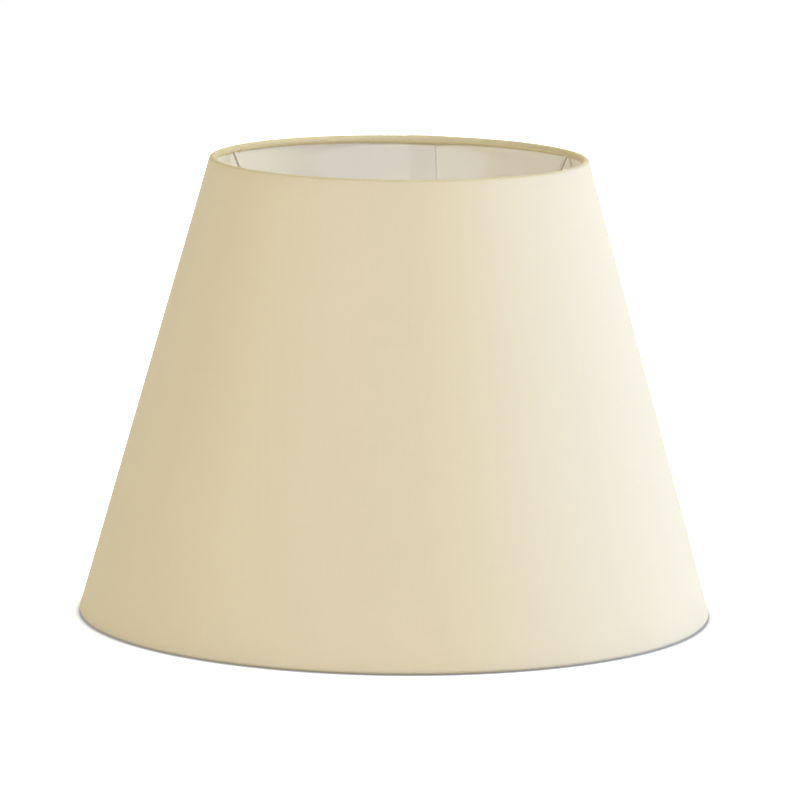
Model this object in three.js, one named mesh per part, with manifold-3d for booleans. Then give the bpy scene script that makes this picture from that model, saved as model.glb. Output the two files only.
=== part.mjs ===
// An empire lamp shade: a tapered fabric panel laminated to a stiff plastic liner, rolled over a wire
// ring at each end, and carried by a three-legged wire spider whose washer sits on the stud of a harp.
// Millimetres, +Z up. The origin is on the shade's axis, in the plane that the bottom rim stands on.
import * as THREE from "three";
import Module from "manifold-3d";
import { mergeVertices } from "three/addons/utils/BufferGeometryUtils.js";

const wasm = await Module();
wasm.setup();

// ---- driving dimensions ----
const BASE_DIAMETER = 400; // over the bottom rim
const TOP_DIAMETER = 239.5; // over the top rim
const HEIGHT = 291; // from the bottom rim's underside to the top rim's upper side

const RING_WIRE = 3; // diameter of the wire in both rings
const FABRIC = 0.4; // thickness of the cover cloth
const LINER = 0.35; // thickness of the plastic liner
const RING_TAPE = 0.15; // thickness of the sticky tape folded round each ring
const FILM = 0.05; // glue line between two layers

const SEAM_START = 79; // azimuth in degrees of the panel's inner end, seen from above, from +X towards +Y
const SEAM_WIDTH = 16; // how far the panel's outer end laps over its inner end
const SEAM_TAPE = 0.15; // thickness of the sticky tape inside the lap
const SEAM_FILM = 0.15; // clearance on each side of that tape
const RAMP_STEPS = 4; // grid steps over which the outer end rises to pass over the inner one

const SPIDER_WIRE = 2.2; // diameter of the wire in the spider's legs
const LEG_AZIMUTHS = { right: 24, left: 155, front: 270 }; // degrees
const LEG_SLOPE = 24.5; // degrees off plumb, leaning inwards
const SPIDER_DROP = 25.4; // from the top ring's wire down to the level part of the legs
const LEG_BEND = 7; // how far from the corner the bend starts, along each side
const LEG_CLEARANCE = 0.3; // round a leg where it leaves through the rolled hem
const WELD_GAP = 0.3; // between a leg's end and the ring, where the weld is

const WASHER_OUTER = 32;
const WASHER_HOLE = 11;
const WASHER_THICKNESS = 1.6;
const WASHER_BEVEL = 0.4;
const LEG_END_RADIUS = 9; // how near to the axis the legs reach

const STEPS = 60; // facets round the shade, shared by every round layer so that they nest
const WASHER_STEPS = 36;
const LEG_SIDES = 10;
const LEG_STEPS = 36;

// ---- the stack of layers, as distances from the centre of a ring's wire ----
const wireRadius = RING_WIRE / 2;
const tapeInner = wireRadius + FILM;
const tapeOuter = tapeInner + RING_TAPE;
const linerInner = tapeOuter + FILM;
const linerOuter = linerInner + LINER;
const coverInner = linerOuter + FILM;
const coverOuter = coverInner + FABRIC;
const hemInner = tapeOuter + FILM;
const hemOuter = hemInner + FABRIC;
const seamTapeInner = coverOuter + SEAM_FILM;
const lapRise = seamTapeInner + SEAM_TAPE + SEAM_FILM - linerInner;

const PANEL_END = 1.1; // how far short of a wire's level the laminated panel is drawn to
const HEM_START = 0.9; // where the rolled hem takes over from it

// ---- the section through the wall, in a plane through the axis ----
const radians = THREE.MathUtils.degToRad;
const point = (r, z) => new THREE.Vector2(r, z);
const OUTLINE_OVERHANG = 2.6; // of the rolled rim beyond the wire's own circle, roughly a hem and a liner

const topWire = point(TOP_DIAMETER / 2 - OUTLINE_OVERHANG, HEIGHT - hemOuter);
const bottomWire = point(BASE_DIAMETER / 2 - OUTLINE_OVERHANG, hemOuter);
const wallUp = topWire.clone().sub(bottomWire).normalize();
const wallOut = point(wallUp.y, -wallUp.x);
const wallLength = topWire.distanceTo(bottomWire);
const wallAngle = THREE.MathUtils.radToDeg(Math.atan2(wallOut.y, wallOut.x));

// A point of the wall: so far up its slope from the bottom wire, and so far out from the line
// between the wires.
function onWall(up, out) {
  return bottomWire.clone().addScaledVector(wallUp, up).addScaledVector(wallOut, out);
}

// A facet of a rolled hem: a line at a distance from a wire, facing a direction in degrees.
function facet(facing, distance) {
  const a = radians(facing);
  return { n: point(Math.cos(a), Math.sin(a)), distance };
}

function corner(a, b) {
  const det = a.n.cross(b.n);
  return point(
    (a.distance * b.n.y - b.distance * a.n.y) / det,
    (b.distance * a.n.x - a.distance * b.n.x) / det,
  );
}

// The corners of a run of facets round a wire, and the middle of the last facet if the run ends
// half way along it.
function facetCorners(wire, facings, distances, endsInMiddle) {
  const facets = facings.map((facing, i) => facet(facing, distances[i]));
  const corners = facets.slice(1).map((f, i) => corner(facets[i], f));
  const last = facets.at(-1);
  if (endsInMiddle) corners.push(last.n.clone().multiplyScalar(last.distance));
  return corners.map((c) => c.add(wire));
}

const TOP_ROLL = [45, 90, 135, 180, 225, 270, 315]; // over the wire, down its inner side and under it
const BOTTOM_ROLL = [-45, -90, -135, -180, -225, -270, -315]; // the same, mirrored

// ---- solids ----
function solidFrom(geometry) {
  const bare = new THREE.BufferGeometry();
  bare.setAttribute("position", geometry.getAttribute("position"));
  bare.setIndex(geometry.index);
  const merged = mergeVertices(bare, 1e-3);
  return new wasm.Manifold(
    new wasm.Mesh({
      numProp: 3,
      vertProperties: new Float32Array(merged.attributes.position.array),
      triVerts: new Uint32Array(merged.index.array),
    }),
  );
}

function geometryFrom(solid) {
  const mesh = solid.getMesh();
  const geometry = new THREE.BufferGeometry();
  geometry.setAttribute("position", new THREE.BufferAttribute(mesh.vertProperties, 3));
  geometry.setIndex(new THREE.BufferAttribute(mesh.triVerts, 1));
  geometry.computeVertexNormals();
  return geometry;
}

// A closed outline in the (radius, height) plane, turned once round the shade's axis.
function turned(outline, steps = STEPS) {
  const closed = [...outline, outline[0]];
  const start = radians(SEAM_START + 90);
  return new THREE.LatheGeometry(closed, steps, start).rotateX(Math.PI / 2);
}

// A strip between two lines of points, one on each face, repeated at every column round the shade.
// Each column is { outer: [Vector3], inner: [Vector3] }.
function strip(columns) {
  const rows = columns[0].outer.length;
  const positions = columns.flatMap((c) => [...c.outer, ...c.inner]).flatMap((p) => [p.x, p.y, p.z]);
  const at = (column, row, side) => column * 2 * rows + side * rows + row;
  const index = [];
  const quad = (a, b, c, d) => index.push(a, b, c, a, c, d);
  const [OUTER, INNER] = [0, 1];
  const lastColumn = columns.length - 1;
  const lastRow = rows - 1;
  for (let c = 0; c < lastColumn; c++) {
    for (let r = 0; r < lastRow; r++) {
      quad(at(c, r, OUTER), at(c + 1, r, OUTER), at(c + 1, r + 1, OUTER), at(c, r + 1, OUTER));
      quad(at(c, r, INNER), at(c, r + 1, INNER), at(c + 1, r + 1, INNER), at(c + 1, r, INNER));
    }
    quad(at(c, 0, INNER), at(c + 1, 0, INNER), at(c + 1, 0, OUTER), at(c, 0, OUTER));
    quad(at(c, lastRow, OUTER), at(c + 1, lastRow, OUTER), at(c + 1, lastRow, INNER), at(c, lastRow, INNER));
  }
  for (let r = 0; r < lastRow; r++) {
    quad(at(0, r, OUTER), at(0, r + 1, OUTER), at(0, r + 1, INNER), at(0, r, INNER));
    quad(
      at(lastColumn, r, INNER),
      at(lastColumn, r + 1, INNER),
      at(lastColumn, r + 1, OUTER),
      at(lastColumn, r, OUTER),
    );
  }
  const geometry = new THREE.BufferGeometry();
  geometry.setAttribute("position", new THREE.Float32BufferAttribute(positions, 3));
  geometry.setIndex(index);
  geometry.computeVertexNormals();
  return geometry;
}

function around(sectionPoint, azimuth) {
  const a = radians(azimuth);
  return new THREE.Vector3(sectionPoint.x * Math.cos(a), sectionPoint.x * Math.sin(a), sectionPoint.y);
}

// Where a share of the lap lies beyond the full turn, at a section point: the lap has the same
// width all the way up.
function lapAzimuth(sectionPoint, share) {
  return SEAM_START + THREE.MathUtils.radToDeg((share * SEAM_WIDTH) / sectionPoint.x);
}

const LAP_SHARES = [0.5, 1];

// The columns of one layer of the laminated panel, between two distances.
function panelColumns(inner, outer) {
  const ends = [PANEL_END, wallLength - PANEL_END];
  const column = (rise, azimuthOf) => {
    const side = (distance) =>
      ends.map((up) => {
        const p = onWall(up, distance + rise);
        return around(p, azimuthOf(p));
      });
    return { outer: side(outer), inner: side(inner) };
  };
  const turn = Array.from({ length: STEPS + 1 }, (_, k) => {
    const climbed = Math.max(0, k - (STEPS - RAMP_STEPS)) / RAMP_STEPS;
    return column(lapRise * climbed, () => SEAM_START + (360 / STEPS) * k);
  });
  const lap = LAP_SHARES.map((share) => column(lapRise, (p) => lapAzimuth(p, share) + 360));
  return [...turn, ...lap];
}

function seamTapeColumns() {
  const ends = [PANEL_END, wallLength - PANEL_END];
  return [0, ...LAP_SHARES].map((share) => {
    const side = (distance) =>
      ends.map((up) => {
        const p = onWall(up, distance);
        return around(p, lapAzimuth(p, share));
      });
    return { outer: side(seamTapeInner + SEAM_TAPE), inner: side(seamTapeInner) };
  });
}

// The outline of a tape rolled round a wire.
function tapeOutline(wire, roll, endsInMiddle) {
  const face = (distance) => facetCorners(wire, roll, roll.map(() => distance), endsInMiddle);
  return [...face(tapeOuter), ...face(tapeInner).reverse()];
}

function topHemOutline() {
  const facings = [wallAngle, ...TOP_ROLL];
  const outer = facetCorners(topWire, facings, [coverOuter, ...TOP_ROLL.map(() => hemOuter)], true);
  const inner = facetCorners(topWire, facings, [coverInner, ...TOP_ROLL.map(() => hemInner)], true);
  const start = wallLength - HEM_START;
  return [onWall(start, coverOuter), ...outer, ...inner.reverse(), onWall(start, coverInner)];
}

function bottomHemOutline() {
  const facings = [wallAngle, ...BOTTOM_ROLL];
  const outer = facetCorners(bottomWire, facings, [coverOuter, ...BOTTOM_ROLL.map(() => hemOuter)], false);
  const inner = facetCorners(bottomWire, facings, [coverInner, ...BOTTOM_ROLL.map(() => hemInner)], false);
  return [onWall(HEM_START, coverInner), ...inner, ...outer.reverse(), onWall(HEM_START, coverOuter)];
}

const OCTAGON = [0, 45, 90, 135, 180, 225, 270, 315];

function ringOutline(wire) {
  return facetCorners(wire, [...OCTAGON, 0], [...OCTAGON, 0].map(() => wireRadius), false);
}

// ---- the spider ----
const legSlope = radians(LEG_SLOPE);
const legIn = point(-Math.sin(legSlope), -Math.cos(legSlope)); // down a leg, in its own plane
const legLevel = topWire.y - SPIDER_DROP;
const legTop = topWire.clone().addScaledVector(legIn, wireRadius + WELD_GAP);
const legCorner = point(topWire.x - SPIDER_DROP * Math.tan(legSlope), legLevel);

function roundSection(diameter, sides) {
  const shape = new THREE.Shape();
  for (let i = 0; i < sides; i++) {
    const a = (2 * Math.PI * i) / sides;
    const [x, y] = [(diameter / 2) * Math.cos(a), (diameter / 2) * Math.sin(a)];
    if (i) shape.lineTo(x, y);
    else shape.moveTo(x, y);
  }
  return shape;
}

function legGeometry(azimuth) {
  const place = (p) => around(p, azimuth);
  const bendStart = legCorner.clone().addScaledVector(legIn, -LEG_BEND);
  const bendEnd = point(legCorner.x - LEG_BEND, legLevel);
  const path = new THREE.CurvePath();
  path.add(new THREE.LineCurve3(place(legTop), place(bendStart)));
  path.add(new THREE.QuadraticBezierCurve3(place(bendStart), place(legCorner), place(bendEnd)));
  path.add(new THREE.LineCurve3(place(bendEnd), place(point(LEG_END_RADIUS, legLevel))));
  const section = roundSection(SPIDER_WIRE, LEG_SIDES);
  return new THREE.ExtrudeGeometry(section, { steps: LEG_STEPS, extrudePath: path });
}

// The hole that a leg needs in the layers rolled round the top ring.
function legPassage(azimuth) {
  const passageLength = 8;
  const path = new THREE.LineCurve3(
    around(topWire, azimuth),
    around(topWire.clone().addScaledVector(legIn, passageLength), azimuth),
  );
  const section = roundSection(SPIDER_WIRE + 2 * LEG_CLEARANCE, LEG_SIDES);
  return new THREE.ExtrudeGeometry(section, { steps: 1, extrudePath: path });
}

function withLegPassages(geometry) {
  let solid = solidFrom(geometry);
  for (const azimuth of Object.values(LEG_AZIMUTHS)) solid = solid.subtract(solidFrom(legPassage(azimuth)));
  return geometryFrom(solid);
}

function washerGeometry() {
  const top = legLevel - SPIDER_WIRE / 2 - FILM;
  const bottom = top - WASHER_THICKNESS;
  const [hole, rim] = [WASHER_HOLE / 2, WASHER_OUTER / 2];
  return turned(
    [
      point(hole, bottom),
      point(rim - WASHER_BEVEL, bottom),
      point(rim, bottom + WASHER_BEVEL),
      point(rim, top - WASHER_BEVEL),
      point(rim - WASHER_BEVEL, top),
      point(hole, top),
    ],
    WASHER_STEPS,
  );
}

// ---- materials and assembly ----
const coverCloth = { color: 0xccbd98, roughness: 0.9, metalness: 0 };
const linerPlastic = { color: 0xdfd9cc, roughness: 0.5, metalness: 0 };
const frameWire = { color: 0xc6bfaf, roughness: 0.5, metalness: 0.4 };
const stickyTape = { color: 0xe8e4d6, roughness: 0.65, metalness: 0 };

const shade = new THREE.Group();

function add(name, geometry, look) {
  const mesh = new THREE.Mesh(geometry, new THREE.MeshStandardMaterial(look));
  mesh.name = name;
  shade.add(mesh);
}

add("top_ring", turned(ringOutline(topWire)), frameWire);
add("bottom_ring", turned(ringOutline(bottomWire)), frameWire);
add("top_ring_tape", withLegPassages(turned(tapeOutline(topWire, TOP_ROLL, true))), stickyTape);
add("bottom_ring_tape", turned(tapeOutline(bottomWire, BOTTOM_ROLL, false).reverse()), stickyTape);
for (const [side, azimuth] of Object.entries(LEG_AZIMUTHS)) {
  add(`spider_leg_${side}`, legGeometry(azimuth), frameWire);
}
add("hub_washer", washerGeometry(), frameWire);
add("liner_panel", strip(panelColumns(linerInner, linerOuter)), linerPlastic);
add("cover_panel", strip(panelColumns(coverInner, coverOuter)), coverCloth);
add("seam_tape", strip(seamTapeColumns()), stickyTape);
add("top_rolled_hem", withLegPassages(turned(topHemOutline())), coverCloth);
add("bottom_rolled_hem", turned(bottomHemOutline()), coverCloth);

export default shade;
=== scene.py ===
"""The looks of an empire lamp shade: cream plain-weave cloth on a plastic liner, rolled over a wire ring at
each end, with a three-legged wire spider. Metres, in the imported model's frame: +Z up, -Y to the viewer."""

import math

import bpy
from mathutils import Matrix, Vector, noise


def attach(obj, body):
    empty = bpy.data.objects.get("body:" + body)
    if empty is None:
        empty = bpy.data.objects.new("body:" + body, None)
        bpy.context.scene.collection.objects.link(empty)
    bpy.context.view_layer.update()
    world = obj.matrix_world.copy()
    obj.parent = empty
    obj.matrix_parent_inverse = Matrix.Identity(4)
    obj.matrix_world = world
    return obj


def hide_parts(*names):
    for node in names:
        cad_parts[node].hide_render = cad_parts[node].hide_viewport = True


MM = 0.001

# ---- the shade's dimensions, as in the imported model, in millimetres and degrees ----
BASE_DIAMETER = 400
TOP_DIAMETER = 239.5
HEIGHT = 291
RING_WIRE_RADIUS = 1.5
RING_TO_RIM = 2.15  # from the centre of a ring's wire to the outside of the cloth rolled over it
OVERHANG = 2.6  # from the centre of a ring's wire to the rim's widest point, square to the axis
CLOTH = 0.4
LINER_INNER = 1.75  # distances out from the line that joins the two wires
LINER_OUTER = 2.1
COVER_OUTER = 2.55
TAPE_INNER = 1.52
TAPE_OUTER = 1.68
PANEL_END = 1.1
SEAM_START = 79  # degrees
SEAM_WIDTH = 16
LAP_RISE = 0.95  # how far out the lapped end lies from the end under it
LAP_RAMP = 14  # over this length of the panel it rises
SEAM_TAPE_INNER = 2.58
SEAM_TAPE_OUTER = 2.68
LEG_AZIMUTHS = {"right": 24, "left": 155, "front": 270}
SNIPS = (27.2, 12.3, 151.8, 166.0, 266.4, 281.5)  # azimuths of the snips in the top hem's inner edge
RING_WELDS = {"top": 262, "bottom": 96}  # azimuths
LEG_SLOPE = math.radians(24.5)
LEG_RADIUS = 1.1
SPIDER_DROP = 25.4
LEG_BEND = 7
LEG_END_RADIUS = 8.6
WASHER_OUTER = 16
WASHER_HOLE = 5.5
WASHER_THICKNESS = 1.6

TOP_WIRE = Vector((TOP_DIAMETER / 2 - OVERHANG, HEIGHT - RING_TO_RIM))
BOTTOM_WIRE = Vector((BASE_DIAMETER / 2 - OVERHANG, RING_TO_RIM))
WALL_LENGTH = (TOP_WIRE - BOTTOM_WIRE).length
WALL_UP = (TOP_WIRE - BOTTOM_WIRE) / WALL_LENGTH
WALL_OUT = Vector((WALL_UP.y, -WALL_UP.x))
WALL_ANGLE = math.atan2(WALL_OUT.y, WALL_OUT.x)
ROLL_SHARE = math.sin(WALL_ANGLE)  # the cone's half angle is the same angle


def smooth(low, high, x):
    t = min(1, max(0, (x - low) / (high - low)))
    return t * t * (3 - 2 * t)


def on_wall(up, out):
    return BOTTOM_WIRE + WALL_UP * up + WALL_OUT * out


def around(section, azimuth):
    """A point of the (radius, height) section, in millimetres, turned to an azimuth in degrees, in metres."""
    a = math.radians(azimuth)
    return Vector((section.x * math.cos(a), section.x * math.sin(a), section.y)) * MM


# ---- mesh building ----
SHARP = math.radians(50)  # edges that turn more than this are creases


def new_object(name, verts, faces, material):
    mesh = bpy.data.meshes.new(name)
    mesh.from_pydata(verts, [], faces)
    mesh.validate()
    mesh.polygons.foreach_set("use_smooth", [True] * len(mesh.polygons))
    mesh.set_sharp_from_angle(angle=SHARP)
    mesh.materials.append(material)
    mesh.update()
    obj = bpy.data.objects.new(name, mesh)
    bpy.context.scene.collection.objects.link(obj)
    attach(obj, "root")
    return obj


def thick_sheet(columns, wraps=False):
    """Vertices and faces of a closed thin body. Each column is (outer points, inner points)."""
    rows = len(columns[0][0])
    verts = [p for outer, inner in columns for p in (*outer, *inner)]
    count = len(columns)

    def at(c, r, side):
        return (c % count) * 2 * rows + side * rows + r

    faces = []
    for c in range(count if wraps else count - 1):
        for r in range(rows - 1):
            faces.append((at(c, r, 0), at(c + 1, r, 0), at(c + 1, r + 1, 0), at(c, r + 1, 0)))
            faces.append((at(c, r, 1), at(c, r + 1, 1), at(c + 1, r + 1, 1), at(c + 1, r, 1)))
        last = rows - 1
        faces.append((at(c, 0, 1), at(c + 1, 0, 1), at(c + 1, 0, 0), at(c, 0, 0)))
        faces.append((at(c, last, 0), at(c + 1, last, 0), at(c + 1, last, 1), at(c, last, 1)))
    if not wraps:
        end = count - 1
        for r in range(rows - 1):
            faces.append((at(0, r, 0), at(0, r + 1, 0), at(0, r + 1, 1), at(0, r, 1)))
            faces.append((at(end, r, 1), at(end, r + 1, 1), at(end, r + 1, 0), at(end, r, 0)))
    return verts, faces


def add_uv(obj, coords):
    """One (u, v) for each vertex, in metres."""
    layer = obj.data.uv_layers.new(name="cut")
    for loop in obj.data.loops:
        layer.data[loop.index].uv = coords[loop.vertex_index]


def add_value(obj, name, values):
    obj.data.attributes.new(name, "FLOAT", "POINT").data.foreach_set("value", values)


# ---- nodes ----
class Nodes:
    """A material's node tree, with short calls for the kinds of node used here."""

    def __init__(self, name):
        self.material = bpy.data.materials.new(name)
        self.material.use_nodes = True
        self.tree = self.material.node_tree
        self.shader = self.tree.nodes["Principled BSDF"]

    def node(self, kind, settings=(), **inputs):
        n = self.tree.nodes.new(kind)
        for key, value in dict(settings).items():
            setattr(n, key, value)
        for key, value in inputs.items():
            self.put(n.inputs[key.replace("_", " ")], value)
        return n

    def put(self, socket, value):
        if isinstance(value, bpy.types.NodeSocket):
            self.tree.links.new(value, socket)
        else:
            socket.default_value = value

    def math(self, operation, a, b=0.0, c=0.0):
        n = self.tree.nodes.new("ShaderNodeMath")
        n.operation = operation
        for socket, value in zip(n.inputs, (a, b, c)):
            self.put(socket, value)
        return n.outputs[0]

    def noise(self, vector, scale, detail=2.0, roughness=0.5):
        n = self.node("ShaderNodeTexNoise", Vector=vector, Scale=scale, Detail=detail, Roughness=roughness)
        return n.outputs["Fac"]

    def combine(self, x, y, z=0.0):
        return self.node("ShaderNodeCombineXYZ", X=x, Y=y, Z=z).outputs[0]

    def mix(self, factor, a, b):
        n = self.node("ShaderNodeMix", {"data_type": "RGBA"})
        self.put(n.inputs["Factor"], factor)
        self.put(n.inputs[6], a)
        self.put(n.inputs[7], b)
        return n.outputs[2]

    def scaled(self, colour, amount):
        n = self.node("ShaderNodeVectorMath", {"operation": "SCALE"})
        self.put(n.inputs[0], colour)
        self.put(n.inputs["Scale"], amount)
        return n.outputs[0]

    def ramp(self, value, low, high):
        n = self.node("ShaderNodeMapRange", Value=value)
        n.inputs["To Min"].default_value = low
        n.inputs["To Max"].default_value = high
        return n.outputs[0]

    def attribute(self, name):
        return self.node("ShaderNodeAttribute", {"attribute_name": name}).outputs["Fac"]

    def finish(self, colour, roughness, bumps):
        """bumps is a list of (height in metres, strength)."""
        self.put(self.shader.inputs["Base Color"], colour)
        self.put(self.shader.inputs["Roughness"], roughness)
        normal = None
        for height, strength in bumps:
            n = self.node("ShaderNodeBump", Height=height, Strength=strength, Distance=1.0)
            if normal is not None:
                self.put(n.inputs["Normal"], normal)
            normal = n.outputs[0]
        self.put(self.shader.inputs["Normal"], normal)
        return self.material


THREADS = 2300  # to the metre, both ways
YARN = ((0.588, 0.490, 0.308, 1), (0.604, 0.508, 0.327, 1))  # the cloth's range of colours
BACKED_YARN = (0.70, 0.605, 0.375, 1)  # where white tape lies under it
LINER_COLOURS = ((0.722, 0.679, 0.589, 1), (0.746, 0.708, 0.622, 1))
TAPE_COLOURS = ((0.78, 0.74, 0.62, 1), (0.84, 0.81, 0.72, 1))
WIRE_LIGHT = (0.62, 0.57, 0.48, 1)
WIRE_DARK = (0.52, 0.47, 0.385, 1)


def weave(n, threads):
    """(height from 0 to 1, share of warp showing, u, v) of a plain weave; u and v count threads."""
    uv = n.node("ShaderNodeUVMap", {"uv_map": "cut"}).outputs[0]
    split = n.node("ShaderNodeSeparateXYZ", Vector=uv)
    wander = n.noise(uv, 60.0, 3.0)
    drift = n.math("MULTIPLY", n.math("SUBTRACT", wander, 0.5), 3.0)
    u = n.math("MULTIPLY_ADD", split.outputs[0], threads, drift)
    v = n.math("MULTIPLY_ADD", split.outputs[1], threads, drift)

    def thread(across, along, shift):
        body = n.math("ABSOLUTE", n.math("SINE", n.math("MULTIPLY", across, math.pi)))
        row = n.math("ADD", n.math("FLOOR", across), shift)
        wave = n.math("COSINE", n.math("MULTIPLY", n.math("ADD", along, row), math.pi))
        rise = n.math("MULTIPLY_ADD", wave, 0.5, 0.5)
        return n.math("MULTIPLY", body, n.math("MULTIPLY_ADD", rise, 0.85, 0.15))

    warp = thread(u, v, 0.5)
    weft = thread(v, u, 1.5)
    return n.math("MAXIMUM", warp, weft), n.math("GREATER_THAN", warp, weft), u, v


def cloth_material():
    n = Nodes("cream_cloth")
    height, warp_shows, u, v = weave(n, THREADS)
    warp_tone = n.noise(n.combine(n.math("MULTIPLY", u, 0.9), n.math("MULTIPLY", v, 0.012)), 1.0, 2.0)
    weft_tone = n.noise(n.combine(n.math("MULTIPLY", u, 0.010), n.math("MULTIPLY", v, 0.9), 7.0), 1.0, 2.0)
    tone = n.node("ShaderNodeMix", {"data_type": "FLOAT"})
    n.put(tone.inputs["Factor"], warp_shows)
    n.put(tone.inputs[2], weft_tone)
    n.put(tone.inputs[3], warp_tone)
    thread_tone = n.ramp(tone.outputs[0], 0.955, 1.045)
    place = n.node("ShaderNodeTexCoord").outputs["Object"]
    mottle = n.ramp(n.noise(place, 9.0, 3.0), 0.985, 1.015)
    # painted shade: the colour darkens into the gaps between threads and lightens on their crowns, on top of
    # the threads' random tone and mottling
    shade = n.math("MULTIPLY", n.math("MULTIPLY", thread_tone, mottle), n.ramp(height, 0.84, 1.03))
    yarn = n.mix(n.ramp(n.noise(place, 3.0, 2.0), 0.0, 1.0), *YARN)
    backed = n.math("MULTIPLY", n.attribute("rim"), n.ramp(n.noise(place, 120.0, 3.0), 0.4, 0.9))
    colour = n.scaled(n.mix(backed, yarn, BACKED_YARN), shade)
    slub = n.math("MULTIPLY", n.math("SUBTRACT", tone.outputs[0], 0.5), 0.00006)
    n.put(n.shader.inputs["Sheen Weight"], 0.12)
    n.put(n.shader.inputs["Sheen Roughness"], 0.45)
    n.put(n.shader.inputs["Sheen Tint"], (1.0, 0.98, 0.93, 1))
    n.put(n.shader.inputs["Specular IOR Level"], 0.18)
    relief = n.math("MULTIPLY_ADD", height, 0.00007, slub)
    waves = n.math("MULTIPLY", n.noise(place, 45.0, 2.0), 0.00025)
    return n.finish(colour, n.ramp(tone.outputs[0], 0.92, 0.80), [(waves, 0.5), (relief, 0.6)])


def liner_material():
    n = Nodes("liner_plastic")
    height, _, u, v = weave(n, THREADS)
    place = n.node("ShaderNodeTexCoord").outputs["Object"]
    mottle = n.ramp(n.noise(place, 14.0, 4.0), 0.965, 1.02)
    # painted shade: the liner's colour is darkened where the lap backs it
    tone = n.math("MULTIPLY", mottle, n.ramp(n.attribute("lap"), 1.0, LAP_PAINTED_SHADE))
    base = n.mix(n.noise(place, 4.0, 2.0), *LINER_COLOURS)
    colour = n.scaled(base, tone)
    streaks = n.noise(n.combine(n.math("MULTIPLY", u, 0.02), n.math("MULTIPLY", v, 0.002)), 1.0, 3.0)
    orange_peel = n.math("MULTIPLY", n.noise(place, 260.0, 2.0), 0.00003)
    relief = n.math("ADD", orange_peel, n.math("MULTIPLY", height, 0.000006))
    return n.finish(colour, n.ramp(streaks, 0.38, 0.55), [(relief, 0.6)])


def wire_material(name, light, dark):
    n = Nodes(name)
    place = n.node("ShaderNodeTexCoord").outputs["Object"]
    scuffs = n.noise(place, 900.0, 4.0, 0.65)
    cloud = n.noise(place, 60.0, 3.0)
    worn = n.node("ShaderNodeNewGeometry").outputs["Pointiness"]
    edge = n.node("ShaderNodeMapRange", Value=worn)
    edge.inputs["From Min"].default_value = 0.50
    edge.inputs["From Max"].default_value = 0.56
    base = n.mix(n.ramp(cloud, 0.0, 1.0), dark, light)
    bright = tuple(min(1.0, c * 1.25) for c in light[:3]) + (1,)
    colour = n.scaled(n.mix(edge.outputs[0], base, bright), n.ramp(scuffs, 0.88, 1.08))
    n.put(n.shader.inputs["Metallic"], 0.35)
    relief = n.math("MULTIPLY", scuffs, 0.00002)
    return n.finish(colour, n.ramp(scuffs, 0.42, 0.62), [(relief, 0.5)])


def tape_material():
    n = Nodes("sticky_tape")
    place = n.node("ShaderNodeTexCoord").outputs["Object"]
    fibres = n.noise(place, 1400.0, 3.0, 0.6)
    patch = n.noise(place, 80.0, 3.0)
    colour = n.scaled(n.mix(patch, *TAPE_COLOURS), n.ramp(fibres, 0.93, 1.04))
    relief = n.math("MULTIPLY", fibres, 0.00003)
    return n.finish(colour, n.ramp(patch, 0.55, 0.75), [(relief, 0.4)])


# ---- the sheet goods ----
PANEL_COLUMNS = 720
LAP_COLUMNS = 24
MARGIN = (0.1, 0.2, 0.3, 0.4, 0.5, 0.65, 0.9, 1.3, 1.8)  # the cloth's columns beyond the liner's outer end
END_FACE = 0.35  # degrees of the liner's first end that are as thick as the whole laminate
THICK_COLUMNS = 2  # that many columns of the liner belong to that end
FEATHER = 0.4  # how much the liner's first end is thinned on the inside, over this many degrees
FEATHER_TURN = 1.5
LINER_ROWS = 24
LINER_GAP = 0.05  # between the liner's thick first end and the outside of the cloth
LAP_PAINTED_SHADE = 0.93  # painted shade: the liner is drawn a little darker where the lap backs it, standing in for less light through two layers
WALL_ROWS = 28
ROLL_ROWS = 30
ROLL_END = 322.5  # degrees of roll round a wire, from the wall's outward direction
HUG = 60  # the cloth leaves the liner's end for the wire over this much of the roll


def lap_azimuth(radius, share):
    return SEAM_START + math.degrees(share * SEAM_WIDTH / radius)


def panel_stations():
    """[(turn in degrees from the seam, share of the lap)] for every column of the panel."""
    turn = [(360 * k / PANEL_COLUMNS, 0) for k in range(PANEL_COLUMNS + 1)]
    return turn + [(360, (k + 1) / LAP_COLUMNS) for k in range(LAP_COLUMNS)]


def station_azimuth(station, radius):
    turn, share = station
    return SEAM_START + turn + math.degrees(share * SEAM_WIDTH / radius)


def station_rise(station, radius):
    """How far out the panel lies at a station, where it climbs over its own first end.

    Past the liner's end the cloth alone is turned down and glued."""
    turn, share = station
    left = math.radians(360 - turn) * radius
    past = (share - 1) * SEAM_WIDTH
    return LAP_RISE * smooth(LAP_RAMP, 1.0, left) - (LAP_RISE - CLOTH - 0.03) * smooth(0.05, 0.6, past)


def slit(azimuth):
    """How much of the roll is cut back, from 0 to 1, to let a spider leg out."""
    cut = 0
    for leg in LEG_AZIMUTHS.values():
        off = abs((azimuth - leg + 180) % 360 - 180)
        cut = max(cut, 1 - smooth(1.3, 3.2, math.radians(off) * TOP_WIRE.x))
    return cut


def snip(azimuth):
    """How near a column is to a snip in the top hem's inner edge, from 0 to 1."""
    near = 0
    for at in SNIPS:
        off = math.radians(abs((azimuth - at + 180) % 360 - 180)) * TOP_WIRE.x
        near = max(near, 1 - smooth(0.3, 2.0, off))
    return near


def pucker(azimuth, turn, seed, strength):
    """Small gathers across a rolled edge, in millimetres."""
    a = math.radians(azimuth)
    along = Vector((math.cos(a), math.sin(a), 0)) * 16 + Vector((0, 0, seed + turn * 0.8))
    fine = noise.noise(along * 1.9) * 0.6 + noise.noise(along * 4.3 + Vector((3, 5, 7))) * 0.4
    broad = noise.noise(along * 0.35 + Vector((11, 2, 9)))
    return strength * (fine + 0.5 * broad)


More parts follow.
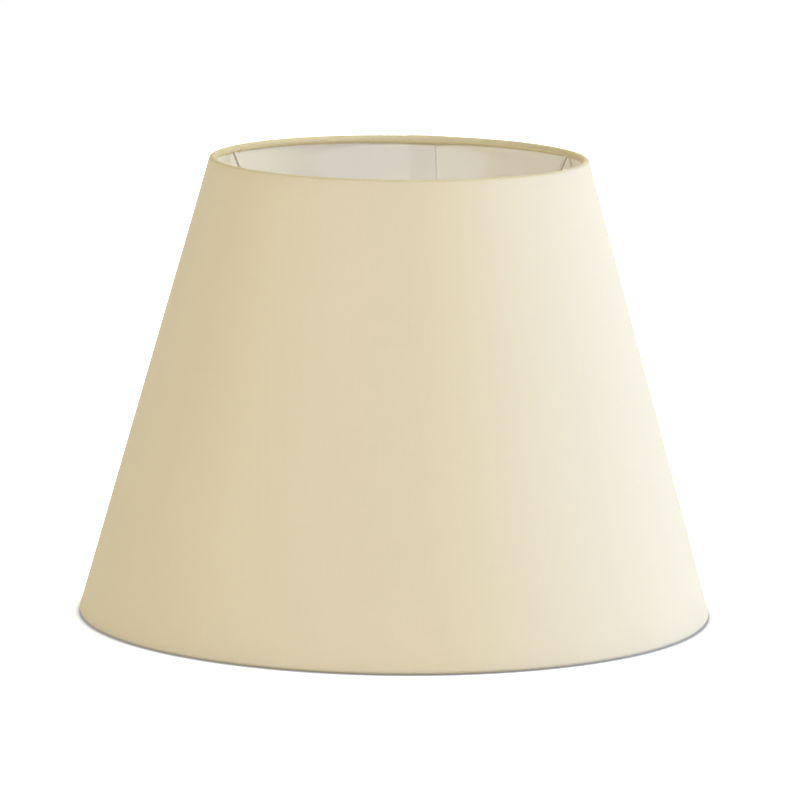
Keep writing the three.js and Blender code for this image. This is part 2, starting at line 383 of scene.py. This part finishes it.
def roll_points(wire, station, sign, thickness_out, is_top):
    """One column's points round a wire, from the wall to the tail, and how far along the cloth each lies.

    sign is +1 at the top and -1 at the bottom."""
    points, lengths = [], []
    radius_here = wire.x
    azimuth = station_azimuth(station, radius_here)
    rise = station_rise(station, radius_here)
    cut = slit(azimuth) if is_top else 0
    snipped = snip(azimuth) if is_top else 0
    end = ROLL_END - 104 * cut - 62 * snipped * (1 - cut)
    for i in range(1, ROLL_ROWS + 1):
        share = i / ROLL_ROWS
        turned = end * share
        hug = smooth(0, HUG, turned)
        distance = RING_TO_RIM + (COVER_OUTER - RING_TO_RIM) * (1 - hug) - CLOTH + thickness_out
        tail = smooth(150, ROLL_END, turned)
        gather = smooth(40, 130, turned) * (1 + 0.6 * tail)
        distance += pucker(azimuth, share, 3 if is_top else 60, 0.11) * gather
        distance += rise * (1 - 0.72 * smooth(0, 50, turned))
        distance += (0.35 * cut + 0.2 * snipped) * smooth(0.75, 1, share)
        distance -= 0.5 * snipped * smooth(110, 190, turned) * (1 - cut)
        angle = WALL_ANGLE + sign * math.radians(turned)
        direction = Vector((math.cos(angle), math.sin(angle)))
        points.append(around(wire + direction * distance, azimuth))
        lengths.append(math.radians(turned) * RING_TO_RIM)
    return points, lengths


def wall_ripple(azimuth, up):
    """Shallow undulation of the laminate in millimetres, fading to nothing at the rims."""
    a = math.radians(azimuth)
    where = Vector((math.cos(a) * 2.2, math.sin(a) * 2.2, up * 0.006))
    share = up / WALL_LENGTH
    return 0.22 * noise.noise(where) * smooth(0, 0.12, share) * smooth(1, 0.88, share)


def cover_column(station, out):
    """One face's points in one column of the cover, from top tail to bottom tail, and their slants."""
    top, top_lengths = roll_points(TOP_WIRE, station, 1, out, True)
    bottom, bottom_lengths = roll_points(BOTTOM_WIRE, station, -1, out, False)
    wall, ups = [], []
    for k in range(WALL_ROWS + 1):
        up = WALL_LENGTH * (1 - k / WALL_ROWS)
        base = on_wall(up, 0)
        azimuth = station_azimuth(station, base.x)
        rise = station_rise(station, base.x) + wall_ripple(azimuth, up)
        wall.append(around(on_wall(up, COVER_OUTER - CLOTH + out + rise), azimuth))
        ups.append(up)
    slant = (
        [WALL_LENGTH + s for s in reversed(top_lengths)] + ups + [-s for s in bottom_lengths]
    )
    return list(reversed(top)) + wall + bottom, slant


APEX_BELOW = BOTTOM_WIRE.x / ROLL_SHARE  # from the cone's point down the slant to the bottom wire


def cut_position(station, slant):
    """Where a point was in the flat cloth, in metres: the cone opened out, its middle column along +v."""
    apex = APEX_BELOW - slant
    turn, share = station
    bearing = math.radians(turn - 180) * ROLL_SHARE + share * SEAM_WIDTH / apex
    return (apex * math.sin(bearing) * MM, -apex * math.cos(bearing) * MM)


def rim_value(slant):
    """1 on the rolled edges, where the cloth lies on white tape, and 0 on the wall."""
    return 1 - smooth(-4.0, 0.0, min(slant, WALL_LENGTH - slant))


def make_cover(material):
    stations = panel_stations()[1:]  # the cloth's first end is tucked in behind the liner's
    stations += [(360, 1 + beyond / SEAM_WIDTH) for beyond in MARGIN]
    columns, uvs, rims = [], [], []
    for station in stations:
        outer, slant = cover_column(station, CLOTH)
        inner, _ = cover_column(station, 0)
        columns.append((outer, inner))
        at = [cut_position(station, s) for s in slant]
        uvs += at + at
        rims += [rim_value(s) for s in slant] * 2
    verts, faces = thick_sheet(columns)
    faces = [tuple(reversed(f)) for f in faces]
    cover = new_object("cover_cloth", verts, faces, material)
    add_uv(cover, uvs)
    add_value(cover, "rim", rims)
    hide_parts("cover_panel", "top_rolled_hem", "bottom_rolled_hem")
    return cover


def make_liner(material):
    columns, uvs, painted_lap_shade = [], [], []
    ups = [PANEL_END + (WALL_LENGTH - 2 * PANEL_END) * (1 - k / LINER_ROWS) for k in range(LINER_ROWS + 1)]
    ends = [(0, 0), (END_FACE, 0), (END_FACE + 0.05, 0)]
    for number, station in enumerate(ends + panel_stations()[2::2]):
        outer_face = COVER_OUTER - LINER_GAP if number < THICK_COLUMNS else LINER_OUTER
        thinned = FEATHER * (1 - min(1, station[0] / FEATHER_TURN))
        outer, inner = [], []
        for up in ups:
            base = on_wall(up, 0)
            azimuth = station_azimuth(station, base.x)
            rise = station_rise(station, base.x) + wall_ripple(azimuth, up)
            outer.append(around(on_wall(up, outer_face + rise), azimuth))
            inner.append(around(on_wall(up, LINER_INNER + thinned + rise), azimuth))
            uvs.append(cut_position(station, up))
            # mask of the painted lap shade: 1 where the lap backs the liner
            beyond = math.radians(station[0]) * base.x
            painted_lap_shade.append(1 - smooth(SEAM_WIDTH - 0.5, SEAM_WIDTH + 1.5, beyond))
        uvs += uvs[-len(ups):]
        painted_lap_shade += painted_lap_shade[-len(ups):]
        columns.append((outer, inner))
    verts, faces = thick_sheet(columns)
    faces = [tuple(reversed(f)) for f in faces]
    liner = new_object("liner", verts, faces, material)
    add_uv(liner, uvs)
    add_value(liner, "lap", painted_lap_shade)
    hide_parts("liner_panel")
    return liner


def make_seam_tape(material):
    columns = []
    rows = 40
    for i in range(13):
        share = 0.04 + 0.92 * i / 12
        outer, inner = [], []
        for k in range(rows + 1):
            up = PANEL_END + (WALL_LENGTH - 2 * PANEL_END) * (1 - k / rows)
            azimuth = lap_azimuth(on_wall(up, 0).x, share)
            lift = wall_ripple(azimuth, up)
            outer.append(around(on_wall(up, SEAM_TAPE_OUTER + lift), azimuth))
            inner.append(around(on_wall(up, SEAM_TAPE_INNER + lift), azimuth))
        columns.append((outer, inner))
    verts, faces = thick_sheet(columns)
    tape = new_object("lap_tape", verts, [tuple(reversed(f)) for f in faces], material)
    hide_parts("seam_tape")
    return tape


def make_ring_tape(name, node, wire, sign, is_top, material):
    """Tape folded round a ring, from the wall over and back under, with the same slits as the cloth."""
    columns = []
    rows = 24
    steps = 540
    for c in range(steps):
        azimuth = SEAM_START + 360 * c / steps
        cut = slit(azimuth) if is_top else 0
        end = 300 - 95 * cut
        outer, inner = [], []
        for k in range(rows + 1):
            angle = WALL_ANGLE + sign * math.radians(20 + (end - 20) * k / rows)
            direction = Vector((math.cos(angle), math.sin(angle)))
            outer.append(around(wire + direction * TAPE_OUTER, azimuth))
            inner.append(around(wire + direction * TAPE_INNER, azimuth))
        columns.append((outer, inner))
    verts, faces = thick_sheet(columns, wraps=True)
    if sign < 0:
        faces = [tuple(reversed(f)) for f in faces]
    tape = new_object(name, verts, faces, material)
    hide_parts(node)
    return tape


# ---- the frame ----
def tube(path, radii, sides=20):
    """A closed round tube along a list of points in metres, with a radius in metres for each."""
    verts, faces = [], []
    across = None
    for i, p in enumerate(path):
        ahead = (path[min(i + 1, len(path) - 1)] - path[max(i - 1, 0)]).normalized()
        if across is None:
            across = ahead.cross(Vector((0, 0, 1)))
            across = across.normalized() if across.length > 1e-6 else Vector((1, 0, 0))
        across = (across - ahead * across.dot(ahead)).normalized()
        other = ahead.cross(across)
        for k in range(sides):
            a = 2 * math.pi * k / sides
            verts.append(p + (across * math.cos(a) + other * math.sin(a)) * radii[i])
    for i in range(len(path) - 1):
        for k in range(sides):
            n = (k + 1) % sides
            faces.append((i * sides + k, i * sides + n, (i + 1) * sides + n, (i + 1) * sides + k))
    faces.append(tuple(range(sides - 1, -1, -1)))
    faces.append(tuple(range((len(path) - 1) * sides, len(path) * sides)))
    return verts, faces


def blob(centre, axes, seed, rings=12, sides=20):
    """A lumpy bead of weld: centre and three half-axes, in metres."""
    verts, faces = [], []
    for i in range(1, rings):
        polar = math.pi * i / rings
        for k in range(sides):
            a = 2 * math.pi * k / sides
            d = Vector((math.sin(polar) * math.cos(a), math.sin(polar) * math.sin(a), math.cos(polar)))
            lump = 1 + 0.16 * noise.noise(d * 1.7 + Vector((seed, 0, 0)))
            verts.append(centre + (axes[0] * d.x + axes[1] * d.y + axes[2] * d.z) * lump)
    top, low = len(verts), len(verts) + 1
    verts += [centre + axes[2], centre - axes[2]]
    for i in range(rings - 2):
        for k in range(sides):
            n = (k + 1) % sides
            faces.append((i * sides + k, (i + 1) * sides + k, (i + 1) * sides + n, i * sides + n))
    last = (rings - 2) * sides
    for k in range(sides):
        n = (k + 1) % sides
        faces.append((top, k, n))
        faces.append((low, last + n, last + k))
    return verts, faces


def joined(parts):
    verts, faces = [], []
    for v, f in parts:
        start = len(verts)
        verts += v
        faces += [tuple(i + start for i in face) for face in f]
    return verts, faces


def leg_path(azimuth, seed):
    """The centre line of a leg, from inside its weld on the ring to its end on the washer."""
    inward = Vector((-math.sin(LEG_SLOPE), -math.cos(LEG_SLOPE)))
    level = TOP_WIRE.y - SPIDER_DROP
    start = TOP_WIRE + inward * (RING_WIRE_RADIUS - 0.3)
    corner = Vector((TOP_WIRE.x - SPIDER_DROP * math.tan(LEG_SLOPE), level))
    bend_in, bend_out = corner - inward * LEG_BEND, corner - Vector((LEG_BEND, 0))
    end = Vector((LEG_END_RADIUS, level))
    section = [start.lerp(bend_in, i / 12) for i in range(12)]
    for i in range(17):
        t = i / 16
        section.append(bend_in.lerp(corner, t).lerp(corner.lerp(bend_out, t), t))
    section += [bend_out.lerp(end, (i + 1) / 30) for i in range(30)]
    path = []
    across = Vector((-math.sin(math.radians(azimuth)), math.cos(math.radians(azimuth)), 0))
    for i, p in enumerate(section):
        share = i / (len(section) - 1)
        loose = math.sin(math.pi * share)
        sway = 0.35 * noise.noise(Vector((share * 3.1, seed, 0))) * loose
        dip = 0.25 * noise.noise(Vector((share * 2.7, seed, 5))) * loose
        path.append(around(Vector((p.x, p.y + dip)), azimuth) + across * sway * MM)
    return path


def make_leg(side, azimuth, seed, material):
    path = leg_path(azimuth, seed)
    radii = [LEG_RADIUS * MM * (1 + 0.012 * noise.noise(p * 90)) for p in path]
    body = tube(path, radii)
    a = math.radians(azimuth)
    out = Vector((math.cos(a), math.sin(a), 0))
    side_way = Vector((-math.sin(a), math.cos(a), 0))
    up = Vector((0, 0, 1))
    down_leg = (path[1] - path[0]).normalized()
    ring_weld = blob(
        path[0] + down_leg * 0.4 * MM,
        (down_leg.cross(side_way) * 1.25 * MM, side_way * 1.9 * MM, down_leg * 1.1 * MM),
        seed,
    )
    hub_weld = blob(
        path[-1] + out * 1.6 * MM - up * 0.75 * MM,
        (out * 2.8 * MM, side_way * 1.75 * MM, up * 0.85 * MM),
        seed + 20,
    )
    verts, faces = joined([body, ring_weld, hub_weld])
    leg = new_object("leg_" + side, verts, faces, material)
    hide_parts("spider_leg_" + side)
    return leg


def make_ring(name, node, wire, weld_azimuth, material):
    """A ring of round wire whose ends are butt-welded, with the weld's slight bulge."""
    steps, sides = 480, 16
    verts, faces = [], []
    for c in range(steps):
        azimuth = 360 * c / steps
        off = abs((azimuth - weld_azimuth + 180) % 360 - 180)
        radius = RING_WIRE_RADIUS * (0.985 + 0.035 * math.exp(-((math.radians(off) * wire.x / 1.6) ** 2)))
        for k in range(sides):
            a = 2 * math.pi * k / sides
            verts.append(around(wire + Vector((math.cos(a), math.sin(a))) * radius, azimuth))
    for c in range(steps):
        d = (c + 1) % steps
        for k in range(sides):
            n = (k + 1) % sides
            faces.append((c * sides + k, d * sides + k, d * sides + n, c * sides + n))
    ring = new_object(name, verts, faces, material)
    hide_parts(node)
    return ring


def make_washer(material):
    """A pressed washer: rolled outer edge, punched hole with a little turned-down burr, and a faint waviness.
    """
    top = TOP_WIRE.y - SPIDER_DROP - LEG_RADIUS - 0.05
    bottom = top - WASHER_THICKNESS
    soft, burr = 0.5, 0.22
    outline = []

    def fillet(x, z, from_angle, radius):
        for i in range(7):
            a = math.radians(from_angle + 90 * i / 6)
            outline.append(Vector((x + radius * math.cos(a), z + radius * math.sin(a))))

    fillet(WASHER_OUTER - soft, bottom + soft, -90, soft)
    fillet(WASHER_OUTER - soft, top - soft, 0, soft)
    outline.extend(Vector((x, top)) for x in (13.5, 11.5, 9.5, 7.5))
    fillet(WASHER_HOLE + burr, top - burr, 90, burr)
    fillet(WASHER_HOLE + burr, bottom + burr, 180, burr)
    outline.extend(Vector((x, bottom)) for x in (7.5, 9.5, 11.5, 13.5))
    steps = 120
    verts = []
    for c in range(steps):
        azimuth = 360 * c / steps
        a = math.radians(azimuth)
        for p in outline:
            wobble = 0.05 * noise.noise(Vector((math.cos(a), math.sin(a), p.x / 5)))
            verts.append(around(Vector((p.x, p.y + wobble)), azimuth))
    rows = len(outline)
    faces = []
    for c in range(steps):
        d = (c + 1) % steps
        for k in range(rows):
            n = (k + 1) % rows
            faces.append((c * rows + k, d * rows + k, d * rows + n, c * rows + n))
    washer = new_object("hub", verts, faces, material)
    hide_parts("hub_washer")
    return washer


# ---- the studio ----
CAMERA_PLACE = Vector((0, -3.6952, 0.7362))
CAMERA_PITCH = 0.16100  # radians, downwards
CAMERA_YAW = -0.0006
CAMERA_ROLL = 0.0117
LENS = 266.02
# painted contact shadow: how far the floor's ambient-occlusion darkening reaches, in metres
PAINTED_SHADOW_REACH = 0.011
FLOOR_GLOW = (0.90, 0.91, 0.95)
PAINTED_LIGHT_UNDER_SHADE = (0.76, 0.72, 0.57)  # painted shade and light on the floor under the shade: a dimmer, warmer glow standing in for light through cream cloth
# (name, azimuth, elevation, diameter in metres, (red, green, blue) watts) of each light
LIGHTS = [
    ("key", -47, 24, 0.25, (19.0, 22.6, 34.9)),
    ("fill", 227, 26, 0.25, (28.6, 29.0, 32.2)),
    ("low_side", 8, 0, 0.5, (4.5, 20.0, 68.2)),
    ("side", 5, 25, 1.0, (37.0, 36.0, 28.7)),
    ("top", 0, 89, 1.2, (21.1, 18.7, 4.0)),
    ("back", 90, 35, 1.2, (25.0, 24.5, 23.5)),
]
LIGHT_DISTANCE = 2.6


def make_camera():
    data = bpy.data.cameras.new("camera")
    data.lens = LENS
    data.sensor_width = 36
    camera = bpy.data.objects.new("camera", data)
    bpy.context.scene.collection.objects.link(camera)
    right = Vector((math.cos(CAMERA_YAW), math.sin(CAMERA_YAW), 0))
    level = Vector((-math.sin(CAMERA_YAW), math.cos(CAMERA_YAW), 0))
    ahead = level * math.cos(CAMERA_PITCH) - Vector((0, 0, 1)) * math.sin(CAMERA_PITCH)
    up = Vector((0, 0, 1)) * math.cos(CAMERA_PITCH) + level * math.sin(CAMERA_PITCH)
    turned_right = right * math.cos(CAMERA_ROLL) + up * math.sin(CAMERA_ROLL)
    turned_up = up * math.cos(CAMERA_ROLL) - right * math.sin(CAMERA_ROLL)
    axes = Matrix((turned_right, turned_up, -ahead)).transposed().to_4x4()
    camera.matrix_world = Matrix.Translation(CAMERA_PLACE) @ axes
    bpy.context.scene.camera = camera


def area_light(name, azimuth, elevation, size, watts):
    data = bpy.data.lights.new(name, "AREA")
    data.shape = "DISK"
    data.size = size
    data.energy = max(watts)
    data.color = [w / max(watts) for w in watts]
    light = bpy.data.objects.new(name, data)
    bpy.context.scene.collection.objects.link(light)
    a, e = math.radians(azimuth), math.radians(elevation)
    target = Vector((0, 0, 0.15))
    offset = Vector((math.cos(a) * math.cos(e), math.sin(a) * math.cos(e), math.sin(e))) * LIGHT_DISTANCE
    light.location = target + offset
    light.rotation_euler = offset.to_track_quat("Z", "Y").to_euler()


def make_floor():
    """A glowing white floor. A painted contact shadow darkens it close to what stands on it, and its glow is
    painted dimmer and warmer under the shade.
    """
    bpy.ops.mesh.primitive_plane_add(size=40)
    floor = bpy.context.object
    floor.name = "floor"
    n = Nodes("white_floor")
    # painted contact shadow: ambient occlusion scales the floor's colour and glow down near what stands on it
    near = n.node("ShaderNodeAmbientOcclusion", {"samples": 16, "only_local": False}, Distance=PAINTED_SHADOW_REACH)
    painted_contact_shadow = n.node("ShaderNodeMapRange", Value=near.outputs["AO"])
    painted_contact_shadow.inputs["From Min"].default_value = 0.56
    painted_contact_shadow.inputs["From Max"].default_value = 0.95
    painted_contact_shadow.inputs["To Min"].default_value = 0.25
    painted_contact_shadow.inputs["To Max"].default_value = 1.0
    place = n.node("ShaderNodeTexCoord").outputs["Object"]
    grain = n.ramp(n.noise(place, 400.0, 3.0), 0.84, 0.88)
    # painted shade and light: inside the shade's footprint the floor's glow turns dimmer and warmer
    radius = n.node("ShaderNodeVectorMath", {"operation": "LENGTH"})
    n.put(radius.inputs[0], place)
    outside = n.node("ShaderNodeMapRange", Value=radius.outputs["Value"])
    outside.inputs["From Min"].default_value = (BASE_DIAMETER / 2 - 12) * MM
    outside.inputs["From Max"].default_value = (BASE_DIAMETER / 2 - 4) * MM
    glow_with_painted_light = n.mix(outside.outputs[0], (*PAINTED_LIGHT_UNDER_SHADE, 1), (*FLOOR_GLOW, 1))
    n.put(n.shader.inputs["Base Color"], n.scaled(n.combine(grain, grain, grain), painted_contact_shadow.outputs[0]))
    n.put(n.shader.inputs["Roughness"], 0.9)
    n.put(n.shader.inputs["Specular IOR Level"], 0.0)
    n.put(n.shader.inputs["Emission Color"], n.scaled(glow_with_painted_light, painted_contact_shadow.outputs[0]))
    n.put(n.shader.inputs["Emission Strength"], 1.0)
    floor.data.materials.append(n.material)


def make_world():
    world = bpy.data.worlds.new("studio")
    bpy.context.scene.world = world
    world.use_nodes = True
    tree = world.node_tree
    background = tree.nodes["Background"]
    background.inputs["Color"].default_value = (1.0, 1.0, 1.0, 1)
    background.inputs["Strength"].default_value = 0.05


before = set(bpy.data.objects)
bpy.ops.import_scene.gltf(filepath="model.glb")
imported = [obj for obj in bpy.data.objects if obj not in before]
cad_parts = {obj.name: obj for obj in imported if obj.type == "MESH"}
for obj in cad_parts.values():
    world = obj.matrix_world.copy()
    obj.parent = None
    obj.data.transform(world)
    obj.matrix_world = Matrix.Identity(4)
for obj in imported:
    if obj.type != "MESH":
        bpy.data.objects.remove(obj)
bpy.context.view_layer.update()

cloth = cloth_material()
wire = wire_material("plated_wire", WIRE_LIGHT, WIRE_DARK)
tape = tape_material()

cover = make_cover(cloth)
liner = make_liner(liner_material())
make_seam_tape(tape)
top_tape = make_ring_tape("tape_top", "top_ring_tape", TOP_WIRE, 1, True, tape)
bottom_tape = make_ring_tape("tape_bottom", "bottom_ring_tape", BOTTOM_WIRE, -1, False, tape)
make_ring("ring_top", "top_ring", TOP_WIRE, RING_WELDS["top"], wire)
make_ring("ring_bottom", "bottom_ring", BOTTOM_WIRE, RING_WELDS["bottom"], wire)
for number, (side, azimuth) in enumerate(LEG_AZIMUTHS.items()):
    make_leg(side, azimuth, 1.7 + 3 * number, wire)
make_washer(wire)

make_floor()
make_world()
for light in LIGHTS:
    area_light(*light)
make_camera()
scene = bpy.context.scene
scene.view_settings.view_transform = "Standard"
